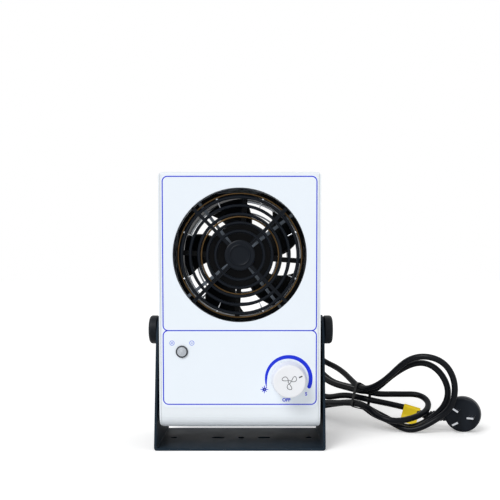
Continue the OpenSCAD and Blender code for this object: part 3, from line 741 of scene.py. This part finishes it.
@dataclass
class Controls:
    """The speed knob with its dial, and the lamp."""

    ink: float = 0.05 * MM
    dial_radius: float = 21.5 * MM
    dial_start: float = 204.0
    dial_end: float = -21.0
    dial_steps: int = 72
    cap_steps: int = 8
    # The width of the round end's very tip, as a share of the dial's
    cap_tip: float = 0.02
    # The dial's width, in millimetres, at shares of its length
    dial_widths: tuple[Flat, ...] = (
        (0, 0.02), (0.06, 1.5), (0.11, 2.25), (0.31, 2.9), (0.51, 3.4), (1, 3.5),
    )  # fmt: skip
    star_x: float = 22.1 * MM
    star_z: float = 55.4 * MM
    star_radius: float = 3.6 * MM
    star_rays: int = 8
    star_hole: float = 0.3 * MM
    # Every second ray is shorter
    short_ray: float = 0.8
    # A ray's width at its root and how much of it is lost at its tip, in millimetres
    ray_root: float = 1.35
    ray_taper: float = 0.95
    off_place: Flat = (41.9 * MM, 45.8 * MM)
    top_place: Flat = (59.7 * MM, 51.2 * MM)
    letter_size: float = 4.2 * MM
    pointer_angle: float = 24.0
    pointer_width: float = 1.1 * MM
    # The pointer's root, middle and tip, in millimetres from the knob's axis
    pointer_reach: tuple[float, ...] = (9.0, 10.6, 12.2)
    blade_count: int = 3
    blade_steps: int = 32
    blade_line: float = 0.5 * MM
    blade_turn: float = 26.0
    # A blade's outline, in millimetres: an egg round blade_centre, swept sideways towards its tip
    blade_centre: float = 4.3
    blade_reach: float = 2.5
    blade_root: float = 1.8
    blade_half: float = 1.8
    blade_swell: float = 0.9
    blade_sweep: float = 0.05
    blade_shift: float = 0.3
    hub_radius: float = 1.25 * MM
    hub_steps: int = 24

    def finish(self) -> None:
        """Dress the knob and the lamp."""
        dress(MOULDED_WHITE, "speed_knob")
        dress(BEZEL, "lamp_bezel", "lamp_nut")
        dress(LENS, "lamp_lens")

    def knob_axis(self) -> tuple[float, float, float]:
        """Return the knob's middle and the place of its face along Y."""
        low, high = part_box("speed_knob")
        return (low.x + high.x) / 2, (low.z + high.z) / 2, low.y

    def dial_width(self, share: float) -> float:
        """Return the dial's width.

        Args:
            share: From 0 at its point to 1 at its round end.

        Returns:
            The width in metres.
        """
        for (s0, w0), (s1, w1) in zip(self.dial_widths, self.dial_widths[1:]):
            if share <= s1:
                return (w0 + (w1 - w0) * (share - s0) / (s1 - s0)) * MM
        return self.dial_widths[-1][1] * MM

    def print_dial(self) -> None:
        """Print the swelling arc round the knob, with its round end."""
        x, z, _ = self.knob_axis()
        steps = self.dial_steps
        middle = []
        for k in range(steps + 1):
            angle = math.radians(self.dial_start + (self.dial_end - self.dial_start) * k / steps)
            radius = self.dial_radius - self.dial_width(k / steps) / 2
            middle.append((radius * math.cos(angle), radius * math.sin(angle)))
        arc = ribbon(middle, self.dial_width, self.ink)
        end = math.radians(self.dial_end)
        half = self.dial_width(1) / 2
        end_x, end_y = middle[-1]
        quarter = [math.pi / 2 * k / self.cap_steps for k in range(self.cap_steps + 1)]
        reach = [half * math.sin(turn) for turn in quarter]
        cap = [(end_x + r * math.sin(end), end_y - r * math.cos(end)) for r in reach]
        # The round end is a ribbon whose outline is a half circle
        rounding = ribbon(
            cap, lambda s: 2 * half * max(self.cap_tip, math.cos(math.pi / 2 * s)), self.ink
        )
        piece = face_front(join([arc, rounding]), x, film_face(), z)
        settle(piece, "speed_dial", PRINT_BLUE, "head")

    def print_star(self) -> None:
        """Print the small burst of rays that stands for a low speed."""
        rays = []
        for k in range(self.star_rays):
            angle = math.radians(k * 360 / self.star_rays)
            reach = self.star_radius * (1.0 if k % 2 == 0 else self.short_ray)
            run = (math.cos(angle), math.sin(angle))
            ends = [(run[0] * r, run[1] * r) for r in (self.star_hole, reach * 0.5, reach)]
            rays.append(ribbon(ends, lambda s: (self.ray_root - self.ray_taper * s) * MM, self.ink))
        piece = face_front(join(rays), self.star_x, film_face(), self.star_z)
        settle(piece, "burst_mark", PRINT_BLUE, "head")

    def print_words(self) -> None:
        """Print OFF at the low end of the dial and a plain number at the high end."""
        signs = (("off_word", "OFF", self.off_place), ("top_number", "5", self.top_place))
        for name, words, (x, z) in signs:
            letters = lettering(words, self.letter_size, self.ink)
            piece = face_front(letters, x, film_face(), z)
            settle(piece, name, PRINT_BLUE, "head")

    def blade_outline(self, turn: float) -> list[Flat]:
        """Return the closed outline of one blade of the mark on the knob.

        Args:
            turn: The blade's direction in degrees.

        Returns:
            Its points, the last the same as the first.
        """
        turn = math.radians(turn)
        outline = []
        for step in range(self.blade_steps):
            angle = 2 * math.pi * step / self.blade_steps
            out = self.blade_centre + self.blade_reach * math.cos(angle)
            half = self.blade_half + self.blade_swell * math.cos(angle)
            sweep = self.blade_sweep * (out - self.blade_root) ** 2 - self.blade_shift
            side = half * math.sin(angle) + sweep
            along = (out * math.cos(turn) - side * math.sin(turn)) * MM
            up = (out * math.sin(turn) + side * math.cos(turn)) * MM
            outline.append((along, up))
        return [*outline, outline[0]]

    def print_knob(self) -> None:
        """Print the three-blade outline and the pointer on the knob's face."""
        x, z, face = self.knob_axis()
        blades = []
        for k in range(self.blade_count):
            outline = self.blade_outline(self.blade_turn + k * 360 / self.blade_count)
            blades.append(ribbon(outline, even(self.blade_line), self.ink))
        hub = arc_points((0, 0), self.hub_radius, 0, 360, self.hub_steps)
        blades.append(ribbon(hub, even(self.blade_line), self.ink))
        piece = face_front(join(blades), x, face, z)
        settle(piece, "blade_mark", PRINT_GREY, "speed_knob")
        angle = math.radians(self.pointer_angle)
        run = (math.cos(angle), math.sin(angle))
        ends = [(run[0] * r * MM, run[1] * r * MM) for r in self.pointer_reach]
        pointer = face_front(ribbon(ends, even(self.pointer_width), self.ink), x, face, z)
        settle(pointer, "knob_pointer", PRINT_GREY, "speed_knob")


@dataclass
class MainsCord:
    """The mains cord: a lead from the head's gland, a tied hank and a moulded plug."""

    diameter: float = 6.2 * MM
    length: float = 1.78
    sides: int = 14
    steps: int = 11
    exit: Point = (45 * MM, 62.5 * MM, 82 * MM)
    # Two places along the lead, where a fade of the head's motion would start and end
    blend_start: Point = (45 * MM, 63 * MM, 82 * MM)
    blend_end: Point = (95 * MM, 103 * MM, 60 * MM)
    # The neck's root, its direction and the places of its ribs along it
    neck_root: Point = (225.28 * MM, 39.45 * MM, 17.8 * MM)
    neck_run: Point = (-0.8925, 0.4162, -0.1736)
    rib_places: tuple[float, ...] = (23.2, 26.2, 29.2, 32.2, 35.2)
    # The ribs' radius at the root, how it tapers along the neck, and their width and round edge
    rib_radius: float = 6.4 * MM
    rib_taper: float = 0.03
    rib_width: float = 1.7 * MM
    rib_round: float = 0.45 * MM
    rib_sides: int = 28
    # The tie's turn about the vertical, how far from its middle it holds strands, and its band
    tie_turn: float = math.radians(-53)
    tie_reach: float = 30 * MM
    tie_steps: int = 72
    tie_width: float = 3.2 * MM
    tie_thickness: float = 1.0 * MM
    tie_clearance: float = 0.1 * MM
    # From the gland to the hank, in millimetres
    lead: tuple[Point, ...] = (
        (45, 43, 82), (45, 53, 82), (45.2, 63.3, 82), (47.7, 75.5, 81.8), (57.8, 89.2, 80.7), (72.8, 99.4, 76.3),
    )  # fmt: skip
    # Through the tied hank to the plug, in millimetres
    hank: tuple[Point, ...] = (
        (87.4, 106, 64.9), (99.8, 100, 58.5), (111.1, 84, 51.2), (122.1, 61.5, 41.9), (134.3, 48, 43.6),
        # first large loop
        (149.4, 40.5, 55.4), (164.7, 33, 71.3), (181.7, 24.5, 77.6), (200.3, 19, 70.6), (209.7, 16.3, 50.6),
        (207, 19.2, 29.1), (194.1, 25, 14.6), (170.2, 29.5, 3.3), (150.8, 42, 9.1), (135.7, 53.3, 14.7),
        (122.7, 67, 22.5),
        # first turn behind the casing
        (109.3, 85, 20.3), (94.1, 108, 13.7), (77.7, 134.4, 7.2), (63.1, 159.6, 10.7), (53.6, 174.9, 24.6),
        (53.4, 175.7, 43.6), (61.9, 161.6, 56.4), (75.5, 137.2, 55), (92.4, 110.5, 41.9), (110.6, 86, 37.4),
        (125.5, 66.5, 36.4),
        # second large loop
        (138.3, 57.5, 39.8), (151.6, 51, 52.3), (167.3, 43, 64.9), (182.7, 34.5, 69.9), (197.1, 28.2, 62.2),
        (205.5, 25.6, 44.5), (202.5, 30, 26.6), (190.1, 35.5, 12.7), (170.6, 41, 3.4), (151.8, 53, 9.3),
        (136.7, 62, 16.4), (125.7, 74.6, 21.1),
        # second turn behind the casing
        (112.8, 91.6, 20), (97.7, 115.4, 13.9), (81.3, 141, 9.6), (67.5, 165.2, 10.8), (58.2, 179.9, 24.6),
        (58, 180.7, 43.6), (66.5, 166.7, 56.5), (80, 143.2, 55.3), (96.8, 117.6, 41.5), (114.5, 93.3, 37.4),
        (129.8, 73.5, 35.5),
        # small loop
        (142.9, 66, 33.5), (157.1, 68.5, 32.7), (171.1, 70.5, 32.3), (182.5, 69, 32.2), (190.1, 63.8, 30.1),
        (193.2, 56.3, 26), (190.6, 48, 20.9), (182.3, 40, 16.7), (170.6, 33, 13.9), (157.1, 27.5, 12.7),
        (146.1, 28, 13.8), (136.5, 34.5, 17), (127.5, 44.5, 23.5),
        # third turn behind the casing
        (114, 62.8, 24.1), (100.2, 82.2, 21), (86.7, 103.9, 17.1), (73, 124.9, 11.8), (59.5, 146.6, 12.2),
        (49.5, 162.6, 24.5), (49, 163.6, 42.6), (56.7, 149.6, 53.9), (69.6, 129.2, 42.8), (87.5, 107.4, 25),
        (106.2, 85.4, 28.4), (123.7, 66.4, 29.4),
        # out to the plug
        (138, 61.5, 26.9), (154, 65.5, 23), (170.2, 67, 19.1), (182.7, 63.5, 15.7), (191.6, 55.1, 11.1),
    )  # fmt: skip

    def centreline(self) -> list[Vector]:
        """Return the cord's middle as a natural cubic spline through its points.

        Returns:
            Closely spaced points in metres.
        """
        knots = [Vector(p) * MM for p in (*self.lead, *self.hank)]
        count = len(knots)
        # Second derivatives, by elimination down and substitution back
        share, rest = [0.0] * count, [Vector() for _ in range(count)]
        for i in range(1, count - 1):
            pull = 6 * (knots[i - 1] - 2 * knots[i] + knots[i + 1])
            below = 4 - share[i - 1]
            share[i] = 1 / below
            rest[i] = (pull - rest[i - 1]) / below
        bend = [Vector() for _ in range(count)]
        for i in range(count - 2, 0, -1):
            bend[i] = rest[i] - share[i] * bend[i + 1]
        line = []
        for i in range(count - 1):
            for k in range(self.steps):
                t = k / self.steps
                a = 1 - t
                straight = a * knots[i] + t * knots[i + 1]
                curved = ((a**3 - a) * bend[i] + (t**3 - t) * bend[i + 1]) / 6
                line.append(straight + curved)
        return [*line, knots[-1]]

    def make_sheath(self) -> tuple[bpy.types.Object, list[Vector]]:
        """Make the cord's sheath as one tube along its middle.

        Returns:
            The tube and the points that it follows.
        """
        line = self.centreline()
        last = len(line) - 1
        runs = [(line[min(i + 1, last)] - line[max(i - 1, 0)]).normalized() for i in range(last + 1)]
        side = runs[0].cross(Vector((0, 0, 1))).normalized()
        points, faces = [], []
        radius = self.diameter / 2
        for i, (middle, run) in enumerate(zip(line, runs)):
            if i:
                side = runs[i - 1].rotation_difference(run) @ side
            side = (side - side.dot(run) * run).normalized()
            other = run.cross(side)
            for k in range(self.sides):
                angle = 2 * math.pi * k / self.sides
                points.append(middle + radius * (math.cos(angle) * side + math.sin(angle) * other))
            if i:
                base = i * self.sides
                below = base - self.sides
                for k in range(self.sides):
                    after = (k + 1) % self.sides
                    faces.append((below + k, below + after, base + after, base + k))
        faces.append(tuple(range(self.sides - 1, -1, -1)))
        faces.append(tuple(range(len(points) - self.sides, len(points))))
        mesh = bpy.data.meshes.new("cord_sheath")
        mesh.from_pydata(points, [], faces)
        mesh.shade_smooth()
        tube = bpy.data.objects.new("cord_sheath", mesh)
        bpy.context.scene.collection.objects.link(tube)
        return tube, line

    def make_ribs(self) -> bpy.types.Object:
        """Make the ribs of the plug's strain relief.

        Returns:
            The ribs as one piece.
        """
        run = Vector(self.neck_run).normalized()
        turn = run.to_track_quat("Z", "Y").to_matrix().to_4x4()
        ribs = []
        for place in self.rib_places:
            clear_selection()
            radius = self.rib_radius - self.rib_taper * place * MM
            bpy.ops.mesh.primitive_cylinder_add(
                vertices=self.rib_sides, radius=radius, depth=self.rib_width
            )
            rib = bpy.context.object
            bpy.ops.object.mode_set(mode="EDIT")
            bpy.ops.mesh.select_all(action="SELECT")
            bpy.ops.mesh.bevel(offset=self.rib_round, segments=3, affect="EDGES")
            bpy.ops.object.mode_set(mode="OBJECT")
            rib.matrix_world = Matrix.Translation(Vector(self.neck_root) + run * place * MM) @ turn
            bpy.ops.object.shade_smooth_by_angle(angle=SMOOTH_ANGLE)
            ribs.append(rib)
        return settle(join(ribs), "plug_neck_ribs", PLUG_BLACK, "stand")

    def make_tie(self, line: Sequence[Vector]) -> bpy.types.Object:
        """Make the thin tie that lies tight round the strands at the middle of the hank.

        Args:
            line: The cord's middle.

        Returns:
            The tie, which stands for the CAD one.
        """
        low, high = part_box("cord_tie")
        middle = (low + high) / 2
        run = Vector((math.cos(self.tie_turn), math.sin(self.tie_turn), 0))
        across = Vector((-run.y, run.x, 0))
        strands = []
        for a, b in zip(line, line[1:]):
            before, after = (a - middle).dot(run), (b - middle).dot(run)
            if before * after <= 0 and (a - middle).length < self.tie_reach:
                cut = a.lerp(b, before / (before - after)) - middle
                strands.append((cut.dot(across), cut.z))
        # The rim lies on the strand that reaches furthest in each direction
        inner, rim = self.diameter / 2 + self.tie_clearance, []
        for step in range(self.tie_steps):
            angle = 2 * math.pi * step / self.tie_steps
            aim = (math.cos(angle), math.sin(angle))
            held = max(strands, key=lambda p: p[0] * aim[0] + p[1] * aim[1])
            rim.append((held[0] + inner * aim[0], held[1] + inner * aim[1], aim))
        points, faces = [], []
        half, thick = self.tie_width / 2, self.tie_thickness
        for u, z, aim in rim:
            for out, along in ((0, -half), (thick, -half), (thick, half), (0, half)):
                lift = Vector((0, 0, z + out * aim[1]))
                points.append(middle + across * (u + out * aim[0]) + lift + run * along)
        for step in range(self.tie_steps):
            base, after = 4 * step, 4 * ((step + 1) % self.tie_steps)
            for k in range(4):
                faces.append((base + k, base + (k + 1) % 4, after + (k + 1) % 4, after + k))
        mesh = bpy.data.meshes.new("hank_tie")
        mesh.from_pydata(points, [], faces)
        tie = bpy.data.objects.new("hank_tie", mesh)
        bpy.context.scene.collection.objects.link(tie)
        clear_selection()
        tie.select_set(True)
        bpy.context.view_layer.objects.active = tie
        bpy.ops.object.mode_set(mode="EDIT")
        bpy.ops.mesh.select_all(action="SELECT")
        bpy.ops.mesh.normals_make_consistent(inside=False)
        bpy.ops.object.mode_set(mode="OBJECT")
        bpy.ops.object.shade_smooth_by_angle(angle=SMOOTH_ANGLE)
        settle(tie, "hank_tie", TIE_BLACK, "stand")
        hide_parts("cord_tie")
        return tie

    def build(self) -> None:
        tube, line = self.make_sheath()
        settle(tube, "cord_sheath", SHEATH, None)
        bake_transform(tube)
        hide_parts("cord", "cord_lead")
        ribs = self.make_ribs()
        tie = self.make_tie(line)
        dress(SHEATH, "cord_gland")
        dress(TAG_CARD, "cord_tag")
        dress(PLUG_BLACK, "plug_body")
        dress(CHROME, "plug_pins")


# ---- Studio ----


@dataclass
class Studio:
    """The camera, the floor and the light."""

    eye: Point = (18.55 * MM, -663.32 * MM, 155.23 * MM)
    pitch: float = 2.723
    lens: float = 50.0
    sensor: float = 36.0
    view_end: float = 200.0
    shift: Flat = (-0.0209, 0.1230)
    floor_side: float = 60.0
    floor_white: float = 0.97
    floor_glow: float = 0.27
    ambient: float = 0.5
    sun: float = 1.7
    sun_from: Point = (-0.42, -0.62, 0.66)
    softness: float = 32.0

    def place_camera(self) -> None:
        """Put the camera in front of the blower."""
        camera = bpy.data.cameras.new("studio_camera")
        camera.lens = self.lens
        camera.sensor_width = self.sensor
        camera.shift_x, camera.shift_y = self.shift
        camera.clip_end = self.view_end
        holder = bpy.data.objects.new("studio_camera", camera)
        bpy.context.scene.collection.objects.link(holder)
        holder.location = self.eye
        holder.rotation_euler = (math.radians(90 - self.pitch), 0, 0)
        bpy.context.scene.camera = holder

    def lay_floor(self) -> None:
        """Lay a plain pale floor."""
        clear_selection()
        bpy.ops.mesh.primitive_plane_add(size=self.floor_side)
        floor = bpy.context.object
        floor.name = "studio_floor"
        material = bpy.data.materials.new("floor_white")
        material.use_nodes = True
        graph = Graph(material.node_tree)
        seen = Signal(graph, graph.node("ShaderNodeLightPath").outputs["Is Camera Ray"])
        shader = graph.node(
            "ShaderNodeBsdfPrincipled",
            None,
            {
                "Base Color": (self.floor_white, self.floor_white, self.floor_white, 1),
                "Roughness": 0.9,
                "Specular IOR Level": 0.1,
                "Emission Color": (1, 1, 1, 1),
                "Emission Strength": seen * self.floor_glow,
            },
        )
        graph.node("ShaderNodeOutputMaterial", None, {"Surface": Signal(graph, shader.outputs[0])})
        floor.data.materials.append(material)

    def light(self) -> None:
        """Set a white surround and one soft key light from the front left."""
        world = bpy.data.worlds.new("studio_white")
        bpy.context.scene.world = world
        world.use_nodes = True
        graph = Graph(world.node_tree)
        path = graph.node("ShaderNodeLightPath")
        seen = Signal(graph, path.outputs["Is Camera Ray"])
        for ray in ("Is Glossy Ray", "Is Transmission Ray"):
            seen = seen.larger(Signal(graph, path.outputs[ray]))
        strength = seen * (1 - self.ambient) + self.ambient
        back = graph.node(
            "ShaderNodeBackground", None, {"Color": (1, 1, 1, 1), "Strength": strength}
        )
        graph.node("ShaderNodeOutputWorld", None, {"Surface": Signal(graph, back.outputs[0])})
        lamp = bpy.data.lights.new("key_light", "SUN")
        lamp.energy = self.sun
        lamp.angle = math.radians(self.softness)
        holder = bpy.data.objects.new("key_light", lamp)
        bpy.context.scene.collection.objects.link(holder)
        holder.rotation_euler = Vector(self.sun_from).to_track_quat("Z", "Y").to_euler()

    def set_up(self) -> None:
        """Set up the whole studio."""
        bpy.context.scene.view_settings.view_transform = "Standard"
        self.place_camera()
        self.lay_floor()
        self.light()


def main() -> None:
    """Build the blower around its frame."""
    Studio().set_up()
    MainsCord().build()
    Stand().finish()
    casing = Casing()
    casing.finish()
    casing.print_frames()
    casing.print_marks()
    FanUnit().finish()
    Ionizer().finish()
    Electronics().finish()
    controls = Controls()
    controls.finish()
    controls.print_dial()
    controls.print_star()
    controls.print_words()
    controls.print_knob()
    clear_selection()


if __name__ == "__main__":
    main()
